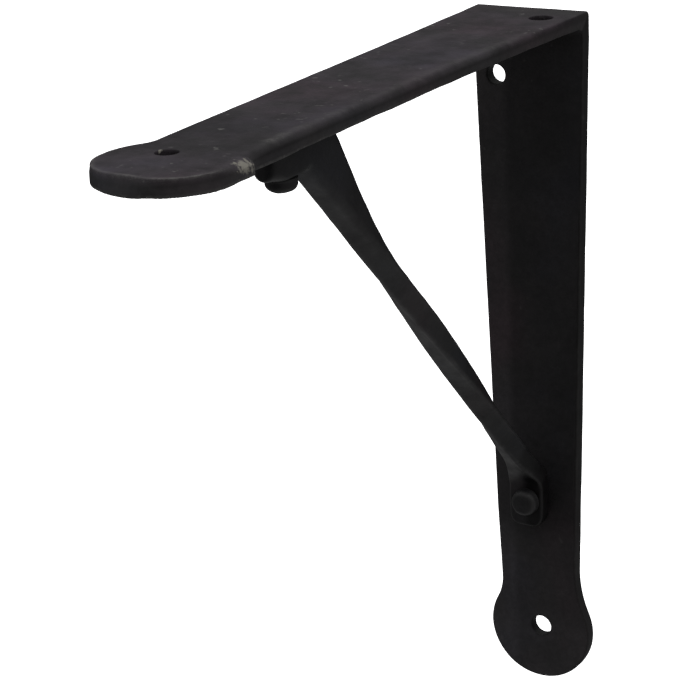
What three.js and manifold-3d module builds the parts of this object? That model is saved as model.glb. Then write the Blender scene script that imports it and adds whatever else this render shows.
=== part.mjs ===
// A shelf bracket forged in black iron.
// One flat bar is bent to a right angle: its arm carries the shelf and its leg is screwed to the wall.
// A twisted square bar braces the arm from the leg, with one rivet through each of its feet.
// Millimetres. X runs across the bracket, the wall is the plane Y = 0, the arm points along -Y and Z is up.
// The origin is on the wall, midway between the two screw holes of the leg.
import * as THREE from 'three';
import { mergeVertices } from 'three/addons/utils/BufferGeometryUtils.js';
import Module from 'manifold-3d';

// The flat bar
const barWidth = 35;
const barThickness = 4.6;
const armLength = 200.8;
const legLength = 209.5;
const bendOuterRadius = 1.6;
const bendInnerRadius = 2;
const bendLand = 8; // full width kept this far from the outer corner, before the sides taper

// The arm's neck, and the round penny end that it leads to.
// On the right the arm is drawn in by its waist already, and the end's side runs straight back to a shoulder.
const armNeckWidth = 28.5;
const armNeckShift = 0.75;
const armRightWaist = 15.4;
const armRightWaistDistance = 72;
const armEndRadius = 17.5;
const armEndShift = -0.3;
const armLeftFillet = 8;
const armRightFillet = 2.5;
const armRightFlank = 8.4;
const armRightShoulder = 3;
const armEndThickness = 5.1;
const armThickeningLength = 50;

// The leg's neck, and its own penny end, forged thinner than the bar
const legNeckWidth = 25.2;
const legEndRadius = 16.6;
const legEndShift = 0.2;
const legLeftFillet = 14;
const legRightFillet = 34;
const legEndThickness = 4;
const legThinningLength = 20;

// The screw holes: two in the arm for the shelf, two in the leg for the wall
const armNearHoleDiameter = 6.8;
const armFarHoleDiameter = 5.6;
const legHighHoleDiameter = 5.8;
const legLowHoleDiameter = 6.4;
const armNearHoleDistance = 13.5;
const armNearHoleShift = 8.8;
const armFarHoleFromTip = 22.8;
const armFarHoleShift = -3.9;
const legHighHoleDrop = 19.6;
const legHighHoleShift = -10.4;
const legLowHoleFromEnd = 17.1;
const legLowHoleShift = 0.4;

// The twisted brace
const braceWidth = 7;
const braceLowerWidth = 6.4;
const braceCornerRadius = 1.1;
const braceTwist = THREE.MathUtils.degToRad(180); // half a turn, so that both feet lie flat
const braceTwistEase = 1.13; // above 1, the twist is slower at the upper end
const braceDrawLength = 60; // over this length the upper end's section tapers to the shaft's
const braceBendRadius = 8;
const braceBow = 0.5; // how far the shaft's middle bows towards the wall

// The upper bend is upset: its wall side bulges, and the bulge dies out down the shaft
const braceSwell = 5.7;
const braceSwellLength = 50;
const braceSwellStart = THREE.MathUtils.degToRad(17);

// The brace's flat feet, under the arm and on the leg
const upperFootWidth = 8.4;
const upperFootThickness = 9;
const upperFootShift = 3;
const upperBendDistance = 132.8;
const upperFootBeyondRivet = 8.1;
const lowerFootWidth = 11.2;
const lowerFootThickness = 5.8;
const lowerFootShift = -0.6;
const lowerFlareBeforeBend = 12; // the shaft starts to widen this far above the bend
const lowerFlareIntoBend = 4;
const lowerBendDrop = 141;
const lowerFootBeyondRivet = 8.5;
const footEndRound = 4;
const footEndWidthShare = 0.4;

// The rivets
const rivetDiameter = 5;
const rivetHeadDiameter = 8.4;
const rivetHeadHeight = 3.6;
const rivetHeadCrown = 0.2;
const rivetHeadEdgeRadius = 2;
const upperRivetDistance = 142;
const lowerRivetDrop = 148;
const rivetClearance = 0.3;
const rivetTailRecess = 0.2;
const seatGap = 0.3;

// Fineness of round stretches
const endSegments = 22;
const holeSegments = 24;
const rivetSegments = 24;
const edgeSteps = 6;
const sectionCornerSegments = 2;
const bendStep = 1.4;
const shaftStep = 3.4;
const cutAllowance = 2;

const armNeckDistance = armLength - 2 * armEndRadius;
const legNeckDrop = legLength - 2 * legEndRadius;
const legLowHoleDrop = legLength - legLowHoleFromEnd;
const shelfHeight = (legHighHoleDrop + legLowHoleDrop) / 2;

const across = new THREE.Vector3(1, 0, 0);
const intoWall = new THREE.Vector3(0, 1, 0);
const up = new THREE.Vector3(0, 0, 1);
const awayFromWall = intoWall.clone().negate();
const down = up.clone().negate();

const { lerp, clamp, smoothstep } = THREE.MathUtils;
const wasm = await Module();
wasm.setup();

function toSolid(geometry) {
  const bare = geometry.clone();
  bare.deleteAttribute('normal');
  bare.deleteAttribute('uv');
  const welded = mergeVertices(bare);
  return new wasm.Manifold(new wasm.Mesh({
    numProp: 3,
    vertProperties: new Float32Array(welded.attributes.position.array),
    triVerts: new Uint32Array(welded.index.array),
  }));
}

function toGeometry(solid) {
  const mesh = solid.getMesh();
  const geometry = new THREE.BufferGeometry();
  geometry.setAttribute('position', new THREE.BufferAttribute(mesh.vertProperties, 3));
  geometry.setIndex(new THREE.BufferAttribute(mesh.triVerts, 1));
  const faceted = geometry.toNonIndexed();
  faceted.computeVertexNormals();
  return faceted;
}

function ironMaterial(color, roughness) {
  return new THREE.MeshStandardMaterial({ color, roughness, metalness: 0.6 });
}

// The arm swells towards its neck, where the edges are hammered in.
function armThicknessAt(distance) {
  const share = 1 - clamp((armNeckDistance - distance) / armThickeningLength, 0, 1);
  return lerp(barThickness, armEndThickness, share);
}

// The leg is drawn thinner towards its penny end.
function legThicknessAt(drop) {
  const share = 1 - clamp((legNeckDrop - drop) / legThinningLength, 0, 1);
  return lerp(barThickness, legEndThickness, share);
}

// The planes that the brace's feet rest on, as a drop below the shelf and a distance from the wall
const upperSeat = armThicknessAt(upperRivetDistance + upperFootBeyondRivet) + seatGap;
const lowerSeat = legThicknessAt(lowerBendDrop) + seatGap;

// Where a fillet joins a straight side to the round end: its centre, and the angle at which it meets the end.
function filletAt(neckHalf, endRadius, endAlong, fillet) {
  const centreAcross = neckHalf + fillet;
  const rise = Math.sqrt((endRadius + fillet) ** 2 - centreAcross ** 2);
  return { across: centreAcross, along: endAlong - rise, angle: Math.atan2(rise, centreAcross) };
}

// The flat outline of the arm or the leg, from the bar's outer corner (along = 0) to the round end.
// The end's right side may run straight back for a flank, to a shoulder rounder or sharper than the end.
function blankOutline(blank) {
  const { length, neckWidth, neckShift, endRadius, endShift, leftFillet, rightFillet } = blank;
  const { rightFlank, rightShoulder, rightWaists } = blank;
  const rootHalf = barWidth / 2;
  const endAlong = length - endRadius;
  const leftNeck = neckShift - neckWidth / 2;
  const rightNeck = neckShift + neckWidth / 2;
  const shoulderAcross = endShift + endRadius - rightShoulder;
  const shoulderAlong = endAlong - rightFlank;
  const left = filletAt(endShift - leftNeck, endRadius, endAlong, leftFillet);
  const right = filletAt(rightNeck - shoulderAcross, rightShoulder, shoulderAlong, rightFillet);
  const rightCentre = shoulderAcross + right.across;
  const shape = new THREE.Shape();
  shape.moveTo(-rootHalf, -cutAllowance);
  shape.lineTo(-rootHalf, bendLand);
  shape.lineTo(leftNeck, left.along);
  shape.absarc(endShift - left.across, left.along, leftFillet, 0, left.angle, false);
  shape.absarc(endShift, endAlong, endRadius, Math.PI + left.angle, 0, true);
  shape.absarc(shoulderAcross, shoulderAlong, rightShoulder, 0, -right.angle, true);
  shape.absarc(rightCentre, right.along, rightFillet, Math.PI - right.angle, Math.PI, false);
  for (const waist of rightWaists) {
    shape.lineTo(waist.half, waist.along);
  }
  shape.lineTo(rootHalf, bendLand);
  shape.lineTo(rootHalf, -cutAllowance);
  shape.closePath();
  return shape;
}

// The bar seen from its side, cut a little long at both ends: the outlines trim it.
function barProfile() {
  const innerCorner = barThickness + bendInnerRadius;
  const shape = new THREE.Shape();
  shape.moveTo(0, -legLength - cutAllowance);
  shape.lineTo(0, -bendOuterRadius);
  shape.absarc(-bendOuterRadius, -bendOuterRadius, bendOuterRadius, 0, Math.PI / 2, false);
  shape.lineTo(-armLength - cutAllowance, 0);
  shape.lineTo(-armLength - cutAllowance, -armEndThickness);
  shape.lineTo(-armNeckDistance, -armEndThickness);
  shape.lineTo(armThickeningLength - armNeckDistance, -barThickness);
  shape.lineTo(-innerCorner, -barThickness);
  shape.absarc(-innerCorner, -innerCorner, bendInnerRadius, Math.PI / 2, 0, true);
  shape.lineTo(-barThickness, legThinningLength - legNeckDrop);
  shape.lineTo(-legEndThickness, -legNeckDrop);
  shape.lineTo(-legEndThickness, -legLength - cutAllowance);
  shape.closePath();
  return shape;
}

function extrudeTo(shape, depth, curveSegments, xAxis, yAxis, zAxis, origin) {
  const geometry = new THREE.ExtrudeGeometry(shape, { depth, curveSegments, bevelEnabled: false });
  geometry.applyMatrix4(new THREE.Matrix4().makeBasis(xAxis, yAxis, zAxis).setPosition(origin));
  return toSolid(geometry);
}

// A cutter through the arm and what hangs below it
function armCutter(diameter, shift, distance) {
  const height = 4 * (armEndThickness + upperFootThickness);
  const geometry = new THREE.CylinderGeometry(diameter / 2, diameter / 2, height, holeSegments);
  geometry.rotateX(Math.PI / 2);
  geometry.translate(shift, -distance, shelfHeight);
  return toSolid(geometry);
}

// A cutter through the leg and what stands on it
function legCutter(diameter, shift, drop) {
  const height = 4 * (barThickness + lowerFootThickness);
  const geometry = new THREE.CylinderGeometry(diameter / 2, diameter / 2, height, holeSegments);
  geometry.translate(shift, 0, shelfHeight - drop);
  return toSolid(geometry);
}

function rivetHoles() {
  const diameter = rivetDiameter + 2 * rivetClearance;
  return [armCutter(diameter, upperFootShift, upperRivetDistance), legCutter(diameter, 0, lowerRivetDrop)];
}

function screwHoles() {
  return [
    armCutter(armNearHoleDiameter, armNearHoleShift, armNearHoleDistance),
    armCutter(armFarHoleDiameter, armFarHoleShift, armLength - armFarHoleFromTip),
    legCutter(legHighHoleDiameter, legHighHoleShift, legHighHoleDrop),
    legCutter(legLowHoleDiameter, legLowHoleShift, legLowHoleDrop),
  ];
}

function cutAll(solid, cutters) {
  return cutters.reduce((rest, cutter) => rest.subtract(cutter), solid);
}

// The side profile drawn across the bar's width, trimmed to the arm's outline and the leg's.
function bentBar() {
  const armBlank = blankOutline({
    length: armLength,
    neckWidth: armNeckWidth,
    neckShift: armNeckShift,
    endRadius: armEndRadius,
    endShift: armEndShift,
    leftFillet: armLeftFillet,
    rightFillet: armRightFillet,
    rightFlank: armRightFlank,
    rightShoulder: armRightShoulder,
    rightWaists: [{ half: armRightWaist, along: armRightWaistDistance }],
  });
  const legBlank = blankOutline({
    length: legLength,
    neckWidth: legNeckWidth,
    neckShift: 0,
    endRadius: legEndRadius,
    endShift: legEndShift,
    leftFillet: legLeftFillet,
    rightFillet: legRightFillet,
    rightFlank: 0,
    rightShoulder: legEndRadius,
    rightWaists: [],
  });
  const outerCorner = new THREE.Vector3(0, 0, shelfHeight);
  const side = outerCorner.clone().addScaledVector(across, -barWidth);
  const profile = extrudeTo(barProfile(), 2 * barWidth, endSegments, intoWall, up, across, side);
  const reach = Math.max(barThickness + bendInnerRadius, armEndThickness) + cutAllowance;
  const depth = reach + cutAllowance;
  const armTop = outerCorner.clone().addScaledVector(up, cutAllowance);
  const armPrism = extrudeTo(armBlank, depth, endSegments, across, awayFromWall, down, armTop);
  const legFront = outerCorner.clone().addScaledVector(awayFromWall, reach);
  const legPrism = extrudeTo(legBlank, depth, endSegments, across, down, intoWall, legFront);
  const bar = profile.intersect(armPrism.add(legPrism));
  return toGeometry(cutAll(bar, [...screwHoles(), ...rivetHoles()]));
}

// A rounded square of side 1, the section that the brace scales, turns and carries along its axis.
function unitSection() {
  const corner = braceCornerRadius / braceWidth;
  const reach = (0.5 - corner) * Math.SQRT2;
  const shape = new THREE.Shape();
  for (let quarter = 0; quarter < 4; quarter += 1) {
    const start = (quarter * Math.PI) / 2;
    const middle = start + Math.PI / 4;
    shape.absarc(reach * Math.cos(middle), reach * Math.sin(middle), corner, start, start + Math.PI / 2, false);
  }
  shape.closePath();
  return shape;
}

// The brace's axis, as stretches that run straight or turn downwards by an angle.
// Headings are angles below the level line that points at the wall.
function braceStretches() {
  const upperAxisDrop = upperSeat + upperFootThickness / 2;
  const run = upperBendDistance - lowerSeat - lowerFootThickness / 2;
  const fall = lowerBendDrop - upperAxisDrop;
  const slope = Math.atan2(fall, run);
  const rest = Math.PI / 2 - slope;
  const upperTangent = braceBendRadius * Math.tan(slope / 2);
  const lowerTangent = braceBendRadius * Math.tan(rest / 2);
  const upperEnd = upperRivetDistance + upperFootBeyondRivet;
  const lowerEnd = lowerRivetDrop + lowerFootBeyondRivet;
  return {
    start: new THREE.Vector2(-upperEnd, -upperAxisDrop),
    slope,
    stretches: [
      { length: upperEnd - upperBendDistance - upperTangent, turn: 0, step: shaftStep },
      { length: braceBendRadius * slope, turn: slope, step: bendStep },
      { length: Math.hypot(run, fall) - upperTangent - lowerTangent, turn: 0, step: shaftStep },
      { length: braceBendRadius * rest, turn: rest, step: bendStep },
      { length: lowerEnd - lowerBendDrop - lowerTangent, turn: 0, step: shaftStep },
    ],
  };
}

// Distances along the axis at which the section is set: closer together where a foot's end is rounded.
function braceMarks(stretches, total) {
  const endMarks = [0, 0.06, 0.2, 0.42, 0.7, 1].map((share) => share * footEndRound);
  const marks = [...endMarks, ...endMarks.map((mark) => total - mark)];
  let from = 0;
  for (const { length, step } of stretches) {
    const count = Math.ceil(length / step);
    for (let index = 0; index <= count; index += 1) {
      const mark = from + (length * index) / count;
      if (Math.min(mark, total - mark) > footEndRound) marks.push(mark);
    }
    from += length;
  }
  marks.sort((a, b) => a - b);
  const leastSpacing = 0.05;
  return marks.filter((mark, index) => index === 0 || mark - marks[index - 1] > leastSpacing);
}

function braceStations() {
  const { start, slope, stretches } = braceStretches();
  const total = stretches.reduce((sum, stretch) => sum + stretch.length, 0);
  const shaftStart = stretches[0].length + stretches[1].length;
  const shaftLength = stretches[2].length;
  return braceMarks(stretches, total).map((mark) => {
    const { point, heading } = placeOnAxis(start, stretches, mark);
    const along = clamp((mark - shaftStart) / shaftLength, 0, 1);
    const fading = Math.max(0, 1 - Math.max(0, mark - shaftStart) / braceSwellLength) ** 2;
    return {
      point,
      heading,
      ...braceSectionAt(mark, total, shaftStart, shaftLength),
      twist: braceTwist * along ** braceTwistEase,
      shift: upperFootShift * (1 - along) + lowerFootShift * lowerSpread(mark, shaftStart + shaftLength),
      swell: braceSwell * smoothstep(heading, braceSwellStart, slope) * fading,
      bow: braceBow * Math.sin(Math.PI * along),
    };
  });
}

function placeOnAxis(start, stretches, mark) {
  const point = start.clone();
  let heading = 0;
  let left = mark;
  for (const { length, turn } of stretches) {
    const used = Math.min(left, length);
    const next = heading + (turn * used) / length;
    if (turn === 0) {
      point.x += used * Math.cos(heading);
      point.y -= used * Math.sin(heading);
    } else {
      const radius = length / turn;
      point.x += radius * (Math.sin(next) - Math.sin(heading));
      point.y += radius * (Math.cos(next) - Math.cos(heading));
    }
    heading = next;
    left -= used;
  }
  return { point, heading };
}

// How far the section has widened into the lower foot: 0 on the shaft, 1 on the foot
function lowerSpread(mark, shaftEnd) {
  return smoothstep(mark, shaftEnd - lowerFlareBeforeBend, shaftEnd + lowerFlareIntoBend);
}

function braceSectionAt(mark, total, shaftStart, shaftLength) {
  const shaftWidth = lerp(braceWidth, braceLowerWidth, clamp((mark - shaftStart) / shaftLength, 0, 1));
  const drawn = smoothstep(mark - shaftStart, 0, braceDrawLength);
  const spread = lowerSpread(mark, shaftStart + shaftLength);
  const toEnd = Math.min(mark, total - mark, footEndRound);
  const roundedEnd = Math.sqrt(1 - (1 - toEnd / footEndRound) ** 2);
  const endShare = lerp(footEndWidthShare, 1, roundedEnd);
  return {
    width: endShare * lerp(lerp(upperFootWidth, shaftWidth, drawn), lowerFootWidth, spread),
    thickness: lerp(lerp(upperFootThickness, shaftWidth, drawn), lowerFootThickness, spread),
  };
}

// Turns a point of the unit section with the twist, swells it on the wall side and sets it at its station.
function placeSectionPoint(station, unitX, unitY) {
  const { point, heading, width, thickness, twist, shift, swell, bow } = station;
  const sideways = unitX * width;
  const through = unitY * thickness;
  const x = sideways * Math.cos(twist) + through * Math.sin(twist);
  const turned = through * Math.cos(twist) - sideways * Math.sin(twist);
  const swollen = turned < 0 ? turned * (1 + (2 * swell) / thickness) : turned;
  const out = swollen - bow;
  return new THREE.Vector3(
    shift + x,
    point.x - out * Math.sin(heading),
    shelfHeight + point.y - out * Math.cos(heading),
  );
}

// The spaces beyond the planes that the feet are hammered flat against: above the upper one, behind the lower one
function beyondSeats() {
  const size = 2 * Math.max(armLength, legLength);
  const aboveUpper = new THREE.BoxGeometry(size, size, size);
  aboveUpper.translate(0, 0, shelfHeight - upperSeat + size / 2);
  const behindLower = new THREE.BoxGeometry(size, size, size);
  behindLower.translate(0, size / 2 - lowerSeat, 0);
  return [toSolid(aboveUpper), toSolid(behindLower)];
}

function twistedBrace() {
  const stations = braceStations();
  const steps = stations.length - 1;
  const geometry = new THREE.ExtrudeGeometry(unitSection(), {
    depth: 1,
    steps,
    curveSegments: sectionCornerSegments,
    bevelEnabled: false,
  });
  const position = geometry.attributes.position;
  for (let index = 0; index < position.count; index += 1) {
    const station = stations[Math.round(position.getZ(index) * steps)];
    const placed = placeSectionPoint(station, position.getX(index), position.getY(index));
    position.setXYZ(index, placed.x, placed.y, placed.z);
  }
  return toGeometry(cutAll(toSolid(geometry), [...beyondSeats(), ...rivetHoles()]));
}

// A rivet along Y: its pan head lies below y = 0, and its shank runs up to the flush tail.
function rivet(shankLength) {
  const headRadius = rivetHeadDiameter / 2;
  const panRadius = headRadius - rivetHeadEdgeRadius;
  const profile = [new THREE.Vector2(0, -rivetHeadHeight)];
  for (let step = 0; step <= edgeSteps; step += 1) {
    const angle = (Math.PI * step) / (2 * edgeSteps);
    const r = panRadius + rivetHeadEdgeRadius * Math.sin(angle);
    const y = rivetHeadCrown - rivetHeadHeight + rivetHeadEdgeRadius * (1 - Math.cos(angle));
    profile.push(new THREE.Vector2(r, y));
  }
  profile.push(new THREE.Vector2(headRadius, 0));
  profile.push(new THREE.Vector2(rivetDiameter / 2, 0));
  profile.push(new THREE.Vector2(rivetDiameter / 2, shankLength));
  profile.push(new THREE.Vector2(0, shankLength));
  return new THREE.LatheGeometry(profile, rivetSegments);
}

function addTo(group, name, geometry, material) {
  const mesh = new THREE.Mesh(geometry, material);
  mesh.name = name;
  group.add(mesh);
  return mesh;
}

const bracket = new THREE.Group();
bracket.name = 'shelf_bracket';
addTo(bracket, 'bent_bar', bentBar(), ironMaterial(0x2c2a2b, 0.6));
addTo(bracket, 'twisted_brace', twistedBrace(), ironMaterial(0x262526, 0.55));

const upperGrip = upperSeat + upperFootThickness + seatGap;
const upperRivet = addTo(bracket, 'upper_rivet', rivet(upperGrip - rivetTailRecess), ironMaterial(0x242324, 0.5));
upperRivet.rotation.x = Math.PI / 2;
upperRivet.position.set(upperFootShift, -upperRivetDistance, shelfHeight - upperGrip);

const lowerGrip = lowerSeat + lowerFootThickness + seatGap;
const lowerRivet = addTo(bracket, 'lower_rivet', rivet(lowerGrip - rivetTailRecess), ironMaterial(0x232224, 0.5));
lowerRivet.position.set(0, -lowerGrip, shelfHeight - lowerRivetDrop);

export default bracket;
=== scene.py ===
import itertools
import math

import bmesh
import bpy
import numpy as np
from mathutils import Matrix, Vector


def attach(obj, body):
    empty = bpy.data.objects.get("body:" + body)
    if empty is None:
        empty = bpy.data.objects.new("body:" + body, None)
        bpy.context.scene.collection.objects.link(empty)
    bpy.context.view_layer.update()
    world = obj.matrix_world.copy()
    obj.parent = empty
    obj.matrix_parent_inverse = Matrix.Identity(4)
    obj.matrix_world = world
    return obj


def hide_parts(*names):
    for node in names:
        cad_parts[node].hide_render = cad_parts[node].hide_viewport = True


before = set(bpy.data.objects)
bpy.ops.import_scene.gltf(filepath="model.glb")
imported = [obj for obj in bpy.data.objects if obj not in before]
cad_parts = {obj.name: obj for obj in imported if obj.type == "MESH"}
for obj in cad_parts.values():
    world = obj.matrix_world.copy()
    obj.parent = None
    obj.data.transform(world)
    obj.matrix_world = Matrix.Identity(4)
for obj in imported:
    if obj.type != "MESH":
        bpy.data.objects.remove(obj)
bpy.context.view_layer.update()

MM = 0.001

# Sizes of the bracket, in millimetres, as the part has them. X is across it and -Y is out from the wall.
# "Along" is measured from the wall on the arm, and down from the shelf on the leg.
BAR_WIDTH = 35.0
BAR_THICKNESS = 4.6
ARM = dict(length=200.8, neck=28.5, neck_shift=0.75, radius=17.5, shift=-0.3,
           left_fillet=8.0, right_fillet=2.5, flank=8.4, shoulder=3.0, waists=[(15.4, 72.0)],
           thickness=5.1, taper=50.0)
LEG = dict(length=209.5, neck=25.2, neck_shift=0.0, radius=16.6, shift=0.2,
           left_fillet=14.0, right_fillet=34.0, flank=0.0, shoulder=16.6, waists=[],
           thickness=4.0, taper=20.0)
BEND_OUTER, BEND_INNER, BEND_LAND = 1.6, 2.0, 8.0
BEYOND = 4.0  # how far the outlines run on, past the bend and the tips, where another distance ends the bar
SHELF = 106.0
ARM_HOLES = [(8.8, 13.5, 6.8), (-3.9, 178.0, 5.6)]  # across, along, diameter
LEG_HOLES = [(-10.4, 19.6, 5.8, 0.0), (0.4, 192.4, 6.4, 0.45)]  # and the depth of the dimple round it
RIVET = 5.0
RIVET_GAP = 0.3
SEAT_GAP = 0.3
TAIL = 1.2  # what the bar closes over the hammered-in rivet tails
UPPER_RIVET = (3.0, 142.0)
LOWER_RIVET = (0.0, 148.0)
HEAD = dict(radius=4.2, height=3.6, crown=0.2, edge=2.0)
BRACE = dict(width=7.0, lower_width=6.4, corner=1.1, twist=math.pi, ease=1.13, draw=60.0, bend=8.0, bow=0.5,
             swell=5.7, swell_length=50.0, swell_start=math.radians(17),
             upper_width=8.4, upper_thickness=9.0, upper_bend=132.8, upper_beyond=8.1,
             lower_foot_width=11.2, lower_shift=-0.6, flare_before=12.0, flare_into=4.0,
             lower_thickness=5.8, lower_bend=141.0, lower_beyond=8.5, end_round=4.0, end_share=0.4)


# Fades and noise

def mix(a, b, t):
    return a + (b - a) * t


def smoothstep(x, low, high):
    t = np.clip((x - low) / (high - low), 0, 1)
    return t * t * (3 - 2 * t)


def between(x, rise, fall):
    """1 between two fades, each given by its start and its end."""
    return smoothstep(x, *rise) * (1 - smoothstep(x, *fall))


def near(x, at, width):
    """1 at a place, falling off on both sides of it."""
    return np.exp(-((x - at) / width) ** 2)


def near_point(p, at, size):
    """1 at a point, falling off all round it."""
    return np.exp(-(((p - at) / size) ** 2).sum(1))


CELLS = 32  # the noise repeats after this many cells
FIRST_CELL = 100.0  # keeps every point of the bracket among cells with positive numbers
BLOW_MARGIN = 0.1  # how near a blow's middle comes to the sides of its cell
BLOW_REACH = 0.75  # squared, in cells


def value_noise(points, wavelength, seed):
    """Smooth noise from -1 to 1 at points in millimetres."""
    lattice = np.random.default_rng(seed).random((CELLS, CELLS, CELLS)) * 2 - 1
    q = points / wavelength + FIRST_CELL
    base = np.floor(q).astype(int)
    f = q - base
    f = f * f * (3 - 2 * f)
    total = np.zeros(len(points))
    for corner in itertools.product((0, 1), repeat=3):
        weight = np.where(corner, f, 1 - f).prod(1)
        total += weight * lattice[tuple(((base + corner) % CELLS).T)]
    return total


def hammer_marks(points, spacing, seed):
    """Shallow round blows: 1 in the middle of a blow, falling to 0 at the ridges between blows."""
    offsets = np.random.default_rng(seed).random((CELLS, CELLS, CELLS, 3))
    offsets = offsets * (1 - 2 * BLOW_MARGIN) + BLOW_MARGIN
    q = points / spacing + FIRST_CELL
    base = np.floor(q).astype(int)
    nearest = np.full(len(points), np.inf)
    for step in itertools.product((-1, 0, 1), repeat=3):
        cell = base + step
        centre = cell + offsets[tuple((cell % CELLS).T)]
        nearest = np.minimum(nearest, ((q - centre) ** 2).sum(1))
    return np.clip(1 - nearest / BLOW_REACH, 0, 1)


def fine_grain(points, seed):
    """The roughness of the scale, as a depth in millimetres."""
    return 0.016 * (1 + value_noise(points, 2.4, seed))


# Outlines and distances

ARC_STEPS = dict(left_fillet=12, end=72, shoulder=14, right_fillet=10, bend=8)
CHUNK = 40000  # points measured at a time


def arc(centre, radius, start, end, steps):
    t = np.linspace(start, end, steps)
    return [(centre[0] + radius * math.cos(a), centre[1] + radius * math.sin(a)) for a in t]


def fillet_at(neck, radius, fillet):
    """A fillet between a straight side and a round: its centre from the round's, and their meeting angle."""
    across = neck + fillet
    rise = math.sqrt((radius + fillet) ** 2 - across ** 2)
    return across, rise, math.atan2(rise, across)


def blank_outline(blank):
    """The flat outline of the arm or the leg, as the part draws it: x across, y along."""
    half, end = BAR_WIDTH / 2, blank["length"] - blank["radius"]
    left_neck = blank["neck_shift"] - blank["neck"] / 2
    right_neck = blank["neck_shift"] + blank["neck"] / 2
    shoulder_x, shoulder_y = blank["shift"] + blank["radius"] - blank["shoulder"], end - blank["flank"]
    left_x, left_y, left_angle = fillet_at(blank["shift"] - left_neck, blank["radius"], blank["left_fillet"])
    right_x, right_y, right_angle = fillet_at(right_neck - shoulder_x, blank["shoulder"],
                                              blank["right_fillet"])
    left_centre = (blank["shift"] - left_x, end - left_y)
    right_centre = (shoulder_x + right_x, shoulder_y - right_y)
    points = [(-half, -BEYOND), (-half, BEND_LAND)]
    points += arc(left_centre, blank["left_fillet"], 0, left_angle, ARC_STEPS["left_fillet"])
    points += arc((blank["shift"], end), blank["radius"], math.pi + left_angle, 0, ARC_STEPS["end"])[1:]
    points += arc((shoulder_x, shoulder_y), blank["shoulder"], 0, -right_angle, ARC_STEPS["shoulder"])
    points += arc(right_centre, blank["right_fillet"], math.pi - right_angle, math.pi,
                  ARC_STEPS["right_fillet"])[1:]
    points += [*blank["waists"], (half, BEND_LAND), (half, -BEYOND)]
    return np.array(points)


def neck_of(blank):
    """How far along the straight part of the arm or the leg ends."""
    return blank["length"] - 2 * blank["radius"]


def thickness_at(blank, along):
    share = 1 - np.clip((neck_of(blank) - along) / blank["taper"], 0, 1)
    return BAR_THICKNESS + (blank["thickness"] - BAR_THICKNESS) * share


def side_profile():
    """The bar from its side: x is the distance from the wall, y the depth below the shelf, both positive."""
    inner = BAR_THICKNESS + BEND_INNER
    arm_end, leg_end = ARM["length"] + BEYOND, LEG["length"] + BEYOND
    points = [(0, leg_end)]
    points += arc((BEND_OUTER, BEND_OUTER), BEND_OUTER, math.pi, 1.5 * math.pi, ARC_STEPS["bend"])
    points += [(arm_end, 0), (arm_end, ARM["thickness"])]
    points += [(neck_of(ARM), ARM["thickness"]), (neck_of(ARM) - ARM["taper"], BAR_THICKNESS)]
    points += arc((inner, inner), BEND_INNER, 1.5 * math.pi, math.pi, ARC_STEPS["bend"])
    points += [(BAR_THICKNESS, neck_of(LEG) - LEG["taper"]), (LEG["thickness"], neck_of(LEG))]
    points += [(LEG["thickness"], leg_end)]
    return np.array(points, float)


def polygon_distance(px, py, polygon):
    """Signed distance to a closed polygon, negative inside."""
    out = np.empty(len(px))
    for start in range(0, len(px), CHUNK):
        x, y = px[start:start + CHUNK], py[start:start + CHUNK]
        best = np.full(len(x), np.inf)
        inside = np.zeros(len(x), bool)
        for (ax, ay), (bx, by) in zip(polygon, np.roll(polygon, -1, 0)):
            ex, ey = bx - ax, by - ay
            wx, wy = x - ax, y - ay
            t = np.clip((wx * ex + wy * ey) / max(ex * ex + ey * ey, 1e-12), 0, 1)
            dx, dy = wx - t * ex, wy - t * ey
            best = np.minimum(best, dx * dx + dy * dy)
            if ay != by:
                crosses = (ay > y) != (by > y)
                inside ^= crosses & (x < ax + (y - ay) * ex / ey)
        out[start:start + CHUNK] = np.sqrt(best) * np.where(inside, -1, 1)
    return out


def round_meet(a, b, radius):
    """Where two distances meet, an edge rounded by a radius."""
    corner = np.hypot(np.maximum(a + radius, 0), np.maximum(b + radius, 0))
    return np.minimum(-radius, np.maximum(a, b)) + corner


ARM_OUTLINE, LEG_OUTLINE, PROFILE = blank_outline(ARM), blank_outline(LEG), side_profile()
UPPER_SEAT = thickness_at(ARM, UPPER_RIVET[1] + BRACE["upper_beyond"]) + SEAT_GAP
LOWER_SEAT = thickness_at(LEG, BRACE["lower_bend"]) + SEAT_GAP


# The bar's forging, in millimetres. A pair is where a fade starts and where it ends.

DEEP = -9.0  # a distance so far inside that it changes nothing
ARM_FADE = (6, 16)  # out from the wall, from the leg's finish to the arm's
RIGHT_EDGE = (2, 8)  # across, where the right side's marks begin

# The tip was hammered from above, so its top edge lies further in than its bottom edge
TIP_LEAN = dict(depth=2.2, x=-1.5, width=8, fade=(184, 194))

# Each edge's radius and how much it wavers
LEG_EDGE, BELOW_EDGE, LEFT_EDGE = (0.6, 0.12), (0.75, 0.2), (0.9, 0.1)
RIGHT_TOP_EDGE, TIP_EDGE = (1.1, 0.26), (0.6, 0.1)
EDGE_WAVELENGTH = 9.0
TOP_EDGE_DEPTH = (1.6, 3.4)  # down from the shelf, from the top edges to the bottom ones
RIGHT_HALF = (0, 4)
SOFTER = dict(extra=1.0, fade=(15, 70))  # the right top edge grows softer along the arm
TIP_FADE = (183, 191)
SHOULDER = dict(extra=1.5, at=175, length=7.0)  # where it is hammered most

BEAD = dict(height=0.2, inset=2.6, width=1.5, rise=(20, 45), fall=(161, 167), strength=0.7, waver=0.5,
            wavelength=9.0)
TOP_FADE, TOP_DEPTH = (0, 60), (0.8, 2.2)  # the top sinks below the bead's crest, out from the wall
STRAIGHT_EDGE = (9, 15)  # the left edge stayed straight

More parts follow.
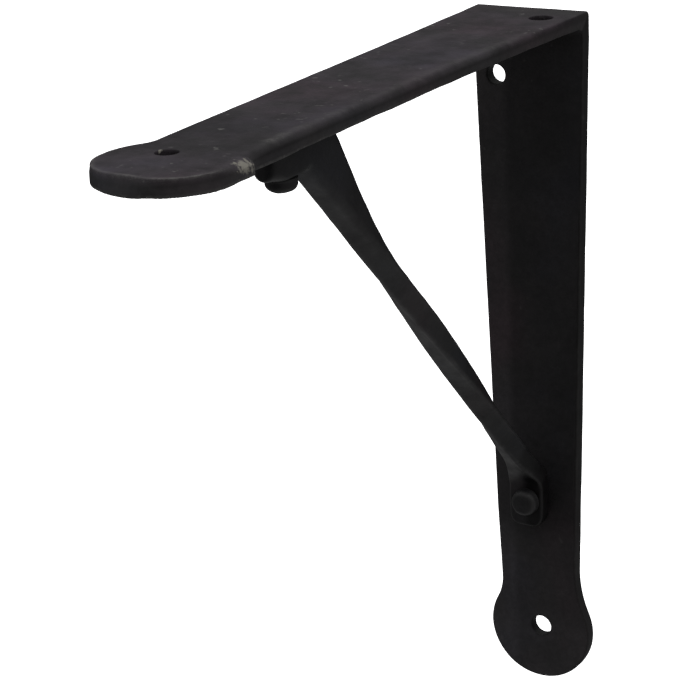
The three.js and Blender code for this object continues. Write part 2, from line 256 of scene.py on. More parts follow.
LEAST_DEPTH = 0.03
BLOWS = dict(spacing=11.0, leg=0.05, arm=0.13, straight=0.03)
SWELLS = dict(wavelength=19.0, depth=0.035, calmed=0.7)
NICKS = dict(wavelength=5.0, depth=0.2, reach=1.8, gain=1.4, bias=0.1)
DIMPLE = dict(front=(1.5, 3.0), width=2.4)
HOLE_EDGE = 0.3


def bar_parts(p):
    """For points of the bar: how far out and down they are, and the distances to its faces and sides."""
    out, drop = -p[:, 1], SHELF - p[:, 2]
    face = polygon_distance(out, drop, PROFILE)
    lean = TIP_LEAN["depth"] * near(p[:, 0], TIP_LEAN["x"], TIP_LEAN["width"])
    lean = lean * smoothstep(out, *TIP_LEAN["fade"]) * np.clip(1 - drop / ARM["thickness"], 0, 1)
    on_leg = drop > out
    sides = np.empty(len(p))
    sides[on_leg] = polygon_distance(p[on_leg, 0], drop[on_leg], LEG_OUTLINE)
    sides[~on_leg] = polygon_distance(p[~on_leg, 0], (out + lean)[~on_leg], ARM_OUTLINE)
    return out, drop, face, sides


def edge_radius(p, out, drop):
    """Hammered and worn edges: soft along the arm's top, crisper round its tip, below and down the leg."""
    waves = value_noise(p, EDGE_WAVELENGTH, 11)
    right = smoothstep(p[:, 0], *RIGHT_HALF)
    right_radius = RIGHT_TOP_EDGE[0] + SOFTER["extra"] * smoothstep(out, *SOFTER["fade"])
    top = mix(LEFT_EDGE[0], right_radius, right) + mix(LEFT_EDGE[1], RIGHT_TOP_EDGE[1], right) * waves
    top = mix(top, TIP_EDGE[0] + TIP_EDGE[1] * waves, smoothstep(out, *TIP_FADE))
    top = top + SHOULDER["extra"] * right * near(out, SHOULDER["at"], SHOULDER["length"])
    arm = mix(BELOW_EDGE[0] + BELOW_EDGE[1] * waves, top, 1 - smoothstep(drop, *TOP_EDGE_DEPTH))
    return mix(LEG_EDGE[0] + LEG_EDGE[1] * waves, arm, smoothstep(out, *ARM_FADE))


def bead(p, out, sides):
    """The bead that the hammer raised along the arm's right top edge, 1 on its crest."""
    across = near(sides, -BEAD["inset"], BEAD["width"]) * smoothstep(p[:, 0], *RIGHT_EDGE)
    strength = np.clip(BEAD["strength"] + BEAD["waver"] * value_noise(p, BEAD["wavelength"], 13), 0, 1)
    return across * between(out, BEAD["rise"], BEAD["fall"]) * strength


def hammered(p, out, drop, face, sides):
    """How deep the hammer and the scale left the bar's skin below its outline."""
    on_arm = smoothstep(out, *ARM_FADE)
    on_top = smoothstep(out, *TOP_FADE) * (1 - smoothstep(drop, *TOP_DEPTH))
    calm = smoothstep(-p[:, 0], *STRAIGHT_EDGE) * on_arm
    blow = mix(mix(BLOWS["leg"], BLOWS["arm"], on_arm), BLOWS["straight"], calm)
    swells = SWELLS["depth"] * (1 + value_noise(p, SWELLS["wavelength"], 22)) * (1 - SWELLS["calmed"] * calm)
    depth = LEAST_DEPTH + blow * hammer_marks(p, BLOWS["spacing"], 21) + swells
    depth += fine_grain(p, 23) + on_top * BEAD["height"] * (1 - bead(p, out, sides))
    near_edge = np.exp(-(face ** 2 + sides ** 2) / NICKS["reach"])
    nicks = np.clip(value_noise(p, NICKS["wavelength"], 24) * NICKS["gain"] + NICKS["bias"], 0, 1)
    return depth + near_edge * on_arm * (1 - calm) * NICKS["depth"] * nicks


def bar_distance(p):
    """The forged bar's signed distance: outlines that meet in rounded edges, less hammering and holes."""
    out, drop, face, sides = bar_parts(p)
    x, on_arm, on_leg = p[:, 0], out > drop, drop > out
    d = round_meet(face, sides, edge_radius(p, out, drop)) + hammered(p, out, drop, face, sides)
    for across, along, diameter in ARM_HOLES:
        wall = diameter / 2 - np.hypot(x - across, out - along)
        d = round_meet(d, np.where(on_arm, wall, DEEP), HOLE_EDGE)
    for across, along, diameter, dimple in LEG_HOLES:
        wall = diameter / 2 - np.hypot(x - across, drop - along)
        d = d + dimple * smoothstep(out, *DIMPLE["front"]) * on_leg * near(wall, 0, DIMPLE["width"])
        d = round_meet(d, np.where(on_leg, wall, DEEP), HOLE_EDGE)
    hole = RIVET / 2 + RIVET_GAP
    upper = np.minimum(hole - np.hypot(x - UPPER_RIVET[0], out - UPPER_RIVET[1]), drop - TAIL)
    lower = np.minimum(hole - np.hypot(x - LOWER_RIVET[0], drop - LOWER_RIVET[1]), out - TAIL)
    return np.maximum(d, np.where(on_arm, upper, lower))


def settle(p, distance, rounds=4, probe=0.03, least_slope=0.2, longest_step=0.8):
    """Moves points onto the surface where the distance is nothing."""
    for _ in range(rounds):
        f = distance(p)
        grad = np.stack([(distance(p + probe * axis) - f) / probe for axis in np.eye(3)], 1)
        slope = np.maximum((grad ** 2).sum(1), least_slope)
        step = -(f / slope)[:, None] * grad
        length = np.maximum(np.linalg.norm(step, axis=1), 1e-9)
        p = p + step * np.minimum(1, longest_step / length)[:, None]
    return p


# Meshes

def new_object(name, mesh):
    made = bpy.data.objects.new(name, mesh)
    bpy.context.scene.collection.objects.link(made)
    return made


def mesh_from(name, points_mm, faces):
    mesh = bpy.data.meshes.new(name)
    mesh.from_pydata([tuple(v) for v in points_mm], [], faces)
    mesh.update()
    return mesh


def cylinder_mesh(name, radius, low, high, axis, centre, segments=48):
    """A closed cylinder in millimetres, along Y or Z."""
    points, faces = [], []
    for level in (low, high):
        for k in range(segments):
            a = 2 * math.pi * k / segments
            if axis == "Z":
                points.append((centre[0] + radius * math.cos(a), centre[1] + radius * math.sin(a), level))
            else:
                points.append((centre[0] + radius * math.cos(a), level, centre[1] - radius * math.sin(a)))
    for k in range(segments):
        n = (k + 1) % segments
        faces.append((k, n, segments + n, segments + k))
    faces.append(tuple(reversed(range(segments))))
    faces.append(tuple(range(segments, 2 * segments)))
    return mesh_from(name, points, faces)


def rivet_cylinders(name, radius, upper_levels, lower_levels):
    """Cylinders on the rivets' axes: the upper between two depths down, the lower between two out."""
    upper_low, upper_high = (SHELF - level for level in upper_levels)
    lower_low, lower_high = (-level for level in lower_levels)
    return [cylinder_mesh(name, radius, upper_low, upper_high, "Z", (UPPER_RIVET[0], -UPPER_RIVET[1])),
            cylinder_mesh(name, radius, lower_low, lower_high, "Y", (LOWER_RIVET[0], SHELF - LOWER_RIVET[1]))]


def evaluated(obj):
    depsgraph = bpy.context.evaluated_depsgraph_get()
    return bpy.data.meshes.new_from_object(obj.evaluated_get(depsgraph))


def remeshed(name, meshes, voxel):
    """One closed mesh round several closed ones that touch, in millimetres."""
    points, faces, base = [], [], 0
    for mesh in meshes:
        points += [tuple(v.co) for v in mesh.vertices]
        faces += [tuple(base + i for i in poly.vertices) for poly in mesh.polygons]
        base += len(mesh.vertices)
    joined = new_object(name, mesh_from(name, points, faces))
    step = joined.modifiers.new("remesh", "REMESH")
    step.mode = "VOXEL"
    step.voxel_size = voxel
    step.use_smooth_shade = True
    mesh = evaluated(joined)
    bpy.data.objects.remove(joined)
    return mesh


def cut(obj, cutter_mesh):
    cutter = new_object("cutter", cutter_mesh)
    step = obj.modifiers.new("cut", "BOOLEAN")
    step.operation = "DIFFERENCE"
    step.solver = "EXACT"
    step.object = cutter
    mesh = evaluated(obj)
    obj.modifiers.clear()
    old = obj.data
    obj.data = mesh
    bpy.data.meshes.remove(old)
    bpy.data.objects.remove(cutter)


def outward(mesh):
    """Makes a closed mesh's faces look outwards."""
    bm = bmesh.new()
    bm.from_mesh(mesh)
    bmesh.ops.recalc_face_normals(bm, faces=bm.faces)
    bm.to_mesh(mesh)
    bm.free()
    mesh.update()


def vertex_values(mesh, name):
    """The vertices' places, as co, or their normals, as normal."""
    values = np.empty(len(mesh.vertices) * 3)
    mesh.vertices.foreach_get(name, values)
    return values.reshape(-1, 3)


def set_coordinates(mesh, co):
    mesh.vertices.foreach_set("co", co.astype(np.float32).ravel())
    mesh.update()


def set_masks(mesh, wear_and_highlight=0.0, scuff_and_glint=0.0, lively=0.0, painted_shading=1.0):
    """The four masks that the iron's material reads at each point."""
    for name, values in (("wear_and_highlight", wear_and_highlight), ("scuff_and_glint", scuff_and_glint), ("lively", lively), ("painted_shading", painted_shading)):
        layer = mesh.attributes.new(name, "FLOAT", "POINT")
        values = np.broadcast_to(values, len(mesh.vertices))
        layer.data.foreach_set("value", values.astype(np.float32))


def finish_piece(obj, body, node, material):
    obj.data.materials.clear()
    obj.data.materials.append(material)
    obj.data.polygons.foreach_set("use_smooth", np.ones(len(obj.data.polygons), bool))
    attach(obj, body)
    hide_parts(node)


# The iron

def node(tree, kind, **values):
    made = tree.nodes.new(kind)
    for key, value in values.items():
        if key in made.inputs:
            made.inputs[key].default_value = value
        else:
            setattr(made, key, value)
    return made


def feed(tree, socket, value):
    """Links a socket to another one, or sets its number or its colour."""
    if isinstance(value, bpy.types.NodeSocket):
        tree.links.new(value, socket)
    elif isinstance(value, (int, float)):
        socket.default_value = value
    else:
        socket.default_value = (*value, 1)


def mix_colour(tree, factor, first, second, blend="MIX"):
    made = tree.nodes.new("ShaderNodeMix")
    made.data_type = "RGBA"
    made.blend_type = blend
    factor_socket, first_socket, second_socket = made.inputs[0], made.inputs[6], made.inputs[7]
    feed(tree, factor_socket, factor)
    feed(tree, first_socket, first)
    feed(tree, second_socket, second)
    return made.outputs[2]


def arithmetic(tree, operation, first, second):
    made = node(tree, "ShaderNodeMath", operation=operation)
    feed(tree, made.inputs[0], first)
    feed(tree, made.inputs[1], second)
    return made.outputs[0]


def ramp(tree, source, low, high, first=0.0, second=1.0):
    made = node(tree, "ShaderNodeMapRange", clamp=True)
    made.interpolation_type = "SMOOTHSTEP"
    for name, value in (("From Min", low), ("From Max", high), ("To Min", first), ("To Max", second)):
        made.inputs[name].default_value = value
    tree.links.new(source, made.inputs["Value"])
    return made.outputs["Result"]


def attribute(tree, name):
    return node(tree, "ShaderNodeAttribute", attribute_name=name).outputs["Fac"]


class Fields:
    """Noise fields over an object, moved by a seed and by a shift so that no two of them are alike."""

    def __init__(self, tree, seed):
        self.tree = tree
        self.place = node(tree, "ShaderNodeTexCoord").outputs["Object"]
        self.offset = (seed, seed * 0.7, seed * 1.3)

    def noise(self, scale, detail, rough, shift=(0, 0, 0)):
        mapping = node(self.tree, "ShaderNodeMapping")
        mapping.inputs["Location"].default_value = [o + s for o, s in zip(self.offset, shift)]
        self.tree.links.new(self.place, mapping.inputs["Vector"])
        made = node(self.tree, "ShaderNodeTexNoise", Scale=scale, Detail=detail, Roughness=rough)
        self.tree.links.new(mapping.outputs["Vector"], made.inputs["Vector"])
        return made.outputs["Fac"]


SPECULAR = 0.22
WARM, COOL, VIOLET = (1.14, 0.93, 1.0), (0.9, 0.97, 1.14), (1.04, 0.89, 1.07)
# The colour of bare scuffed metal, which also paints the glint on the far hole's lip
SCUFF_AND_GLINT_COLOUR = (0.21, 0.2, 0.172)
SHADING_GAIN, DARKEST = 1.8, 0.05
EDGE_COVER = 0.85
EDGE_POLISH = 0.12
ROUGHNESS_SPREAD = (-0.09, 0.1)


def tinted(colour, tint):
    return tuple(c * k for c, k in zip(colour, tint))


def scale_colour(tree, fields, dark, light):
    """Forge scale: a mottled black that drifts warm and cool, with a little violet on the arm's top."""
    colour = mix_colour(tree, ramp(tree, fields.noise(42, 4, 0.6), 0.32, 0.7), dark, light)
    drift = fields.noise(26, 2, 0.5, (3, 0, 0))
    colour = mix_colour(tree, ramp(tree, drift, 0.5, 0.72, 0, 0.9), colour, tinted(light, WARM))
    colour = mix_colour(tree, ramp(tree, drift, 0.5, 0.3, 0, 0.7), colour, tinted(light, COOL))
    violet = mix_colour(tree, attribute(tree, "lively"), (1, 1, 1), VIOLET)
    return mix_colour(tree, 1.0, colour, violet, "MULTIPLY")


def scale_shade(tree, fields):
    """How light the scale is: fine grain, broad clouds on the arm's top, and the painted light and shade."""
    grain = ramp(tree, fields.noise(520, 3, 0.65), 0.3, 0.72, 0.86, 1.12)
    broad = ramp(tree, fields.noise(70, 5, 0.65, (11, 0, 0)), 0.32, 0.68, -0.5, 0.7)
    shade = arithmetic(tree, "ADD", grain, arithmetic(tree, "MULTIPLY", broad, attribute(tree, "lively")))
    # The sheen is the same all over, so the colour carries the whole difference of the painted light and
    # shade
    painted_shading = arithmetic(tree, "MULTIPLY", attribute(tree, "painted_shading"), SHADING_GAIN)
    painted_shading = arithmetic(tree, "ADD", painted_shading, 1 - SHADING_GAIN)
    return arithmetic(tree, "MULTIPLY", shade, arithmetic(tree, "MAXIMUM", painted_shading, DARKEST))


def speck_share(tree, fields):
    """Fine pale specks in loose groups, most of them on the arm's top."""
    specks = ramp(tree, fields.noise(430, 1, 0.5, (0, 5, 0)), 0.66, 0.76)
    groups = ramp(tree, fields.noise(60, 2, 0.5, (0, 0, 9)), 0.5, 0.68)
    specks = arithmetic(tree, "MULTIPLY", specks, groups)
    return arithmetic(tree, "MULTIPLY", specks, ramp(tree, attribute(tree, "lively"), 0, 1, 0.25, 1.0))


def edge_share(tree, fields):
    """Grey iron on the edges, worn by hands and hammer, with painted highlights along some of them, broken up
    finely.
    """
    broken = ramp(tree, fields.noise(340, 5, 0.75, (7, 0, 0)), 0.42, 0.7, 0.28, 1.0)
    return arithmetic(tree, "MULTIPLY", attribute(tree, "wear_and_highlight"), broken)


def scuff_and_glint_share(tree, fields):
    """Bare metal in ragged patches where scuffed, and the painted glint on the far hole's lip."""
    scuff_and_glint = attribute(tree, "scuff_and_glint")
    ragged = arithmetic(tree, "MULTIPLY", fields.noise(640, 4, 0.7, (0, 2, 0)), 3.0)
    patches = ramp(tree, arithmetic(tree, "ADD", scuff_and_glint, ragged), 1.95, 2.55)
    return arithmetic(tree, "MULTIPLY", patches, ramp(tree, scuff_and_glint, 0.03, 0.3))


def pitted_normal(tree, fields):
    pits = arithmetic(tree, "MULTIPLY", fields.noise(900, 4, 0.6), 0.35)
    coarse = arithmetic(tree, "MULTIPLY", fields.noise(210, 3, 0.6), 0.65)
    bump = node(tree, "ShaderNodeBump", Strength=0.35, Distance=0.00035)
    tree.links.new(arithmetic(tree, "ADD", pits, coarse), bump.inputs["Height"])
    return bump.outputs["Normal"]


def black_iron(name, seed, dark, light, worn, roughness, specks):
    """Forge scale under wax: mottled, finely specked, greyer at its worn edges and painted edge highlights,
    bare where it is scuffed, with a painted glint, and painted light and shade in its colour.
    """
    material = bpy.data.materials.new(name)
    material.use_nodes = True
    tree = material.node_tree
    tree.nodes.clear()
    fields = Fields(tree, seed)
    shaded = node(tree, "ShaderNodeVectorMath", operation="SCALE")
    tree.links.new(scale_colour(tree, fields, dark, light), shaded.inputs[0])
    tree.links.new(scale_shade(tree, fields), shaded.inputs["Scale"])
    speck_cover = arithmetic(tree, "MULTIPLY", speck_share(tree, fields), specks)
    colour = mix_colour(tree, speck_cover, shaded.outputs[0], worn)
    # The edges' grey is partly wear and partly painted highlights
    edge = edge_share(tree, fields)
    colour = mix_colour(tree, arithmetic(tree, "MULTIPLY", edge, EDGE_COVER), colour, worn)
    colour = mix_colour(tree, scuff_and_glint_share(tree, fields), colour, SCUFF_AND_GLINT_COLOUR)
    smoothest, roughest = (roughness + spread for spread in ROUGHNESS_SPREAD)
    gloss = ramp(tree, fields.noise(95, 3, 0.6), 0.3, 0.7, smoothest, roughest)
    gloss = arithmetic(tree, "SUBTRACT", gloss, arithmetic(tree, "MULTIPLY", edge, EDGE_POLISH))
    shader = node(tree, "ShaderNodeBsdfPrincipled")
    shader.inputs["Metallic"].default_value = 0.0
    shader.inputs["Specular IOR Level"].default_value = SPECULAR
    tree.links.new(colour, shader.inputs["Base Color"])
    tree.links.new(gloss, shader.inputs["Roughness"])
    tree.links.new(pitted_normal(tree, fields), shader.inputs["Normal"])
    tree.links.new(shader.outputs[0], node(tree, "ShaderNodeOutputMaterial").inputs["Surface"])
    return material


bar_iron = black_iron("bar_iron", seed=1.0, dark=(0.0135, 0.0128, 0.0135), light=(0.0215, 0.0196, 0.0208),
                      worn=(0.105, 0.101, 0.098), roughness=0.56, specks=0.8)
brace_iron = black_iron("brace_iron", seed=4.0, dark=(0.0125, 0.0122, 0.013), light=(0.019, 0.0182, 0.0195),
                        worn=(0.050, 0.049, 0.050), roughness=0.5, specks=0.35)
rivet_iron = black_iron("rivet_iron", seed=8.0, dark=(0.0115, 0.0112, 0.012), light=(0.0175, 0.017, 0.018),
                        worn=(0.045, 0.044, 0.044), roughness=0.5, specks=0.3)


# The bent bar

BAR_VOXEL = 0.56
PLUG_OVERLAP, PLUG_SKIN = 0.6, 0.02  # the iron over the rivets' tails: past the hole's side, below the skin

# The rubs and painted highlights along the bead's crest: how far out, how long and how strong
CREST_RUBS_AND_HIGHLIGHTS = [(158, 6.0, 0.95), (147, 2.4, 0.9), (130, 7.0, 0.4), (100, 10.0, 0.3), (62, 12.0, 0.3)]
CREST_BASE, CREST_MOST, CREST_WEAR_AND_HIGHLIGHT, CREST_DEPTH = 0.3, 1.2, 0.9, (1.2, 2.6)
# Painted highlights along the tip's rim, the arm's lower right edge and the leg's front edges
TIP_RIM = dict(inset=0.5, width=0.7, depth=(0.5, 1.4), fade=(178, 186))
LOWER_LINE = dict(inset=0.4, width=0.7, above=(0.6, 1.2), fade=(70, 105))
LEG_EDGE_HIGHLIGHT = dict(inset=0.3, width=0.5, front=(3.2, 4.0), strength=0.22)
SCUFF_AT = np.array([16.9, -176.7, SHELF - 1.5])  # on the tip's right shoulder
SCUFF_SIZE = np.array([3.4, 4.6, 3.4])
SCUFF_STARTS = (171.5, 173.5)
# A painted glint on the far hole's left lip
GLINT = dict(size=0.75, strength=1.3, offset=np.array([-2.3, 0.86, -0.4]))  # on the far hole's left lip
SCUFF_AND_GLINT_MOST = 1.2
LEG_HIGHLIGHT_SHARE = 0.6  # of the arm's
WEAR_FADE = (4, 12)
LIVELY_DEPTH = (0.4, 2.4)


def bar_wear_and_highlights(p, out, drop, sides):
    """Grey edges: a painted highlight along the tip's rim, worn grey and a painted highlight on the bead's
    crest, and painted highlights along the arm's lower right edge and the leg's front edges.
    """
    rim = near(sides, -TIP_RIM["inset"], TIP_RIM["width"]) * (1 - smoothstep(drop, *TIP_RIM["depth"]))
    rim = rim * smoothstep(out, *TIP_RIM["fade"])
    rubbed_and_lit = CREST_BASE + sum(strength * near(out, at, length) for at, length, strength in CREST_RUBS_AND_HIGHLIGHTS)
    crest = bead(p, out, sides) * (1 - smoothstep(drop, *CREST_DEPTH)) * np.clip(rubbed_and_lit, 0, CREST_MOST)
    above = thickness_at(ARM, out) - drop
    lower = near(sides, -LOWER_LINE["inset"], LOWER_LINE["width"])
    lower = lower * (1 - smoothstep(above, *LOWER_LINE["above"]))
    lower = lower * smoothstep(out, *LOWER_LINE["fade"]) * (drop < out)
    leg = near(sides, -LEG_EDGE_HIGHLIGHT["inset"], LEG_EDGE_HIGHLIGHT["width"]) * smoothstep(out, *LEG_EDGE_HIGHLIGHT["front"])
    leg = leg * (drop > out) * LEG_EDGE_HIGHLIGHT["strength"]
    share = mix(LEG_HIGHLIGHT_SHARE, 1.0, smoothstep(out, *WEAR_FADE))
    return np.clip(rim + CREST_WEAR_AND_HIGHLIGHT * crest + lower + leg, 0, 1) * share


def bar_scuff_and_glint(p, out):
    """The pale scuffed patch on the tip's right shoulder, and a painted glint on the lip of the far hole."""
    scuff_and_glint = near_point(p, SCUFF_AT, SCUFF_SIZE) * smoothstep(out, *SCUFF_STARTS)
    hole_x, hole_along, _ = ARM_HOLES[1]
    glint_at = np.array([hole_x, -hole_along, SHELF]) + GLINT["offset"]
    return np.clip(scuff_and_glint + GLINT["strength"] * near_point(p, glint_at, GLINT["size"]), 0, SCUFF_AND_GLINT_MOST)


def hole_reach(p, out, drop):
    """How far a point of the leg lies outside the nearest screw hole."""
    reaches = [np.hypot(p[:, 0] - x, drop - along) - diameter / 2 for x, along, diameter, _ in LEG_HOLES]
    return np.where(drop > out, np.minimum(*reaches), -DEEP)


def arm_painted_shading(p, out, drop, sides):
    """Painted shade on the bevel and darker behind the tip; painted light on the right side, round the
    scuffed patch and on the neck's fillet; lighter at the tip.
    """
    right = smoothstep(p[:, 0], *RIGHT_EDGE)
    bevel = right * between(out, (20, 60), (168, 173)) * near(sides, -0.9, 0.9)
    bevel = bevel * (1 - smoothstep(drop, 2.0, 3.2))
    side = right * smoothstep(drop, 2.0, 3.0) * smoothstep(sides, -1.0, -0.4)
    behind_tip = near(out, 158, 12)
    tip = smoothstep(out, 176, 190)
    shoulder = near_point(p, SCUFF_AT, 5.5)
    fillet = side * near(out, 170.5, 1.2)
    return 1 - 0.1 * bevel + 0.33 * side - 0.2 * behind_tip + 0.08 * tip + 0.55 * shoulder + 0.3 * fillet


def leg_painted_shading(p, drop, sides):
    """Painted light down its left third, at its foot and on the disc, painted shade on its right side."""
    left = smoothstep(-p[:, 0], 6, 9)
    foot = smoothstep(drop, 155, 165)
    disc = smoothstep(drop, 184, 195)
    right_side = smoothstep(p[:, 0], 8, 12) * smoothstep(sides, -0.9, -0.3)
    return (1 + 0.36 * left + 0.22 * foot + 0.25 * disc) * mix(1, 0.62, right_side)


def bar_painted_shading(p, out, drop, sides):
    """The painted light and shade in the scale's colour: 1 for most of the bar, and painted shade on the
    walls of the leg's holes.
    """
    outside_holes = smoothstep(hole_reach(p, out, drop), -0.1, 0.5)
    painted_shading = np.where(drop > out, leg_painted_shading(p, drop, sides), arm_painted_shading(p, out, drop, sides))
    return painted_shading * mix(0.35, 1, outside_holes)


def make_bar():
    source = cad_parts["bent_bar"].data.copy()
    source.transform(Matrix.Scale(1 / MM, 4))
    plug = RIVET / 2 + RIVET_GAP + PLUG_OVERLAP
    plugs = rivet_cylinders("plug", plug, (TAIL, PLUG_SKIN), (TAIL, PLUG_SKIN))
    mesh = remeshed("bent_bar_forged", [source, *plugs], BAR_VOXEL)
    p = settle(vertex_values(mesh, "co"), bar_distance)
    out, drop, _, sides = bar_parts(p)
    set_coordinates(mesh, p * MM)
    lively = smoothstep(out, *WEAR_FADE) * (1 - smoothstep(drop, *LIVELY_DEPTH))
    set_masks(mesh, bar_wear_and_highlights(p, out, drop, sides), bar_scuff_and_glint(p, out), lively, bar_painted_shading(p, out, drop, sides))
    obj = new_object("bent_bar_forged", mesh)
    finish_piece(obj, "root", "bent_bar", bar_iron)


# The twisted brace: a rounded square section carried along its axis

RING_PITCH = 0.55
RING_CORNER_STEPS, RING_SIDE_STEPS = 9, 8
FULLEST_CORNER = 0.98  # of half the section
CAP_EDGE, CAP_STEPS, CAP_SHARE = 0.9, 6, 0.6  # the rounding of the feet's end faces, and its share across
SOFT_END = dict(extra=2.0, fade=(1.0, 5.0))  # how much softer the lower edges are at the upper end
SOFT_BEND = dict(extra=1.5, rise=(11.0, 18.0), fall=(40.0, 75.0))  # and round the upper bend
LOWER_CORNER = dict(radius=1.6, fade=(18.0, 6.0))  # from the lower end
BRACE_BLOWS = dict(least=0.03, depth=0.14, spacing=8.0, swells=0.06, wavelength=13.0)
RIVET_SEAT = (4.4, 7.0)  # from a rivet's axis, where the hammered skin begins
OTHER_FOOT = 9.0  # keeps points of one foot off the other's seat
CUT_PAST = 2.0


def brace_axis():
    b = BRACE
    axis_drop = UPPER_SEAT + b["upper_thickness"] / 2
    run = b["upper_bend"] - LOWER_SEAT - b["lower_thickness"] / 2
    fall = b["lower_bend"] - axis_drop
    slope = math.atan2(fall, run)
    rest = math.pi / 2 - slope
    upper_tangent, lower_tangent = b["bend"] * math.tan(slope / 2), b["bend"] * math.tan(rest / 2)
    upper_end, lower_end = UPPER_RIVET[1] + b["upper_beyond"], LOWER_RIVET[1] + b["lower_beyond"]
    stretches = [(upper_end - b["upper_bend"] - upper_tangent, 0), (b["bend"] * slope, slope),
                 (math.hypot(run, fall) - upper_tangent - lower_tangent, 0), (b["bend"] * rest, rest),
                 (lower_end - b["lower_bend"] - lower_tangent, 0)]
    return np.array([-upper_end, -axis_drop]), slope, stretches


def place_on_axis(start, stretches, mark):
    y, z = start
    heading, left = 0.0, mark
    for length, turn in stretches:
        used = min(left, length)
        after = heading + turn * used / length
        if turn == 0:
            y += used * math.cos(heading)
            z -= used * math.sin(heading)
        else:
            radius = length / turn
            y += radius * (math.sin(after) - math.sin(heading))
            z += radius * (math.cos(after) - math.cos(heading))
        heading = after
        left -= used
    return y, z, heading


def section_ring(width, thickness, top_corner, bottom_corner):
    """A rectangle with rounded corners, the same number of points whatever its radii: (across, outward)."""
    half_width, half_thickness = width / 2, thickness / 2
    corners = []
    for quarter, (sx, sy) in enumerate(((1, 1), (-1, 1), (-1, -1), (1, -1))):
        wanted = bottom_corner if sy > 0 else top_corner
        radius = min(wanted, half_width * FULLEST_CORNER, half_thickness * FULLEST_CORNER)
        centre = (sx * (half_width - radius), sy * (half_thickness - radius))
        start = quarter * math.pi / 2
        corners.append(arc(centre, radius, start, start + math.pi / 2, RING_CORNER_STEPS + 1))
    ring = []
    for corner, following in zip(corners, corners[1:] + corners[:1]):
        ring += corner
        first, last = np.array(corner[-1]), np.array(following[0])
        ring += [tuple(mix(first, last, k / RING_SIDE_STEPS)) for k in range(1, RING_SIDE_STEPS)]
    return np.array(ring)


def brace_section(mark, along, total, shaft_start, spread):
    """The section's thickness and ring at a mark, from the upper foot by the shaft to the lower foot."""
    b = BRACE
    shaft = mix(b["width"], b["lower_width"], along)
    drawn = smoothstep(mark - shaft_start, 0, b["draw"])
    to_end = min(mark, total - mark, b["end_round"])
    rounded = math.sqrt(max(0, 1 - (1 - to_end / b["end_round"]) ** 2))
    width = mix(mix(b["upper_width"], shaft, drawn), b["lower_foot_width"], spread)
    width = mix(b["end_share"], 1, rounded) * width
    thickness = mix(mix(b["upper_thickness"], shaft, drawn), b["lower_thickness"], spread)
    cap = min(mark, total - mark, CAP_EDGE)
    inset = CAP_EDGE - math.sqrt(max(0, CAP_EDGE ** 2 - (CAP_EDGE - cap) ** 2))
    width, thickness = width - 2 * inset * CAP_SHARE, thickness - 2 * inset
    at_end = 1 - smoothstep(mark, *SOFT_END["fade"])
    at_bend = between(mark, SOFT_BEND["rise"], SOFT_BEND["fall"])
    at_lower = smoothstep(mark, *(total - from_end for from_end in LOWER_CORNER["fade"]))
    bottom = b["corner"] + SOFT_END["extra"] * at_end + SOFT_BEND["extra"] * at_bend
    bottom = mix(bottom, LOWER_CORNER["radius"], at_lower)
    return thickness, section_ring(width, thickness, b["corner"], bottom)


def brace_rings():
    """The brace's rings in millimetres below the shelf's plane, the mark of each and the axis's length."""
    b = BRACE
    start, slope, stretches = brace_axis()
    total = sum(length for length, _ in stretches)
    shaft_start, shaft_length = stretches[0][0] + stretches[1][0], stretches[2][0]
    shaft_end = shaft_start + shaft_length
    inner = np.linspace(CAP_EDGE, total - CAP_EDGE, int(total / RING_PITCH))
    ends = CAP_EDGE * (1 - np.cos(np.linspace(0, math.pi / 2, CAP_STEPS)))[:-1]
    marks = np.concatenate([ends, inner, total - ends[::-1]])
    rings = []
    for mark in marks:
        y, z, heading = place_on_axis(start, stretches, mark)
        along = min(max((mark - shaft_start) / shaft_length, 0), 1)
        spread = smoothstep(mark, shaft_end - b["flare_before"], shaft_end + b["flare_into"])
        thickness, ring = brace_section(mark, along, total, shaft_start, spread)
        twist = b["twist"] * along ** b["ease"]
        across, through = ring[:, 0], ring[:, 1]
        x = across * math.cos(twist) + through * math.sin(twist)
        out = through * math.cos(twist) - across * math.sin(twist)
        fading = max(0, 1 - max(0, mark - shaft_start) / b["swell_length"]) ** 2
        swell = b["swell"] * smoothstep(heading, b["swell_start"], slope) * fading
        out = np.where(out < 0, out * (1 + 2 * swell / thickness), out) - b["bow"] * math.sin(math.pi * along)
        middle = UPPER_RIVET[0] * (1 - along) + b["lower_shift"] * spread
        rings.append(np.stack([middle + x, y - out * math.sin(heading), z - out * math.cos(heading)], 1))
    return np.array(rings), marks, total


def loft(rings):
    count, around = rings.shape[:2]
    faces = []
    for i in range(count - 1):
        for j in range(around):
            k = (j + 1) % around
            faces.append((i * around + j, i * around + k, (i + 1) * around + k, (i + 1) * around + j))
    faces.append(tuple(reversed(range(around))))
    faces.append(tuple(range((count - 1) * around, count * around)))
    return rings.reshape(-1, 3), faces


def brace_hammered(p, normals):
    """Hammers the brace's skin, but not the seats of the rivets' heads, and keeps its feet off the bar."""
    upper = np.hypot(p[:, 0] - UPPER_RIVET[0], p[:, 1] + UPPER_RIVET[1]) + OTHER_FOOT * (p[:, 2] < SHELF - 30)
    lower = np.hypot(p[:, 0] - LOWER_RIVET[0], p[:, 2] - SHELF + LOWER_RIVET[1]) + OTHER_FOOT * (p[:, 2] > 0)
    off_seats = smoothstep(np.minimum(upper, lower), *RIVET_SEAT)
    blows = BRACE_BLOWS["depth"] * hammer_marks(p, BRACE_BLOWS["spacing"], 31)
    swells = BRACE_BLOWS["swells"] * (1 + value_noise(p, BRACE_BLOWS["wavelength"], 32))
    depth = off_seats * (BRACE_BLOWS["least"] + blows + swells) + fine_grain(p, 33)
    p = p - normals * depth[:, None]
    p[:, 2] = np.minimum(p[:, 2], SHELF - UPPER_SEAT)
    p[:, 1] = np.minimum(p[:, 1], -LOWER_SEAT)
    return p


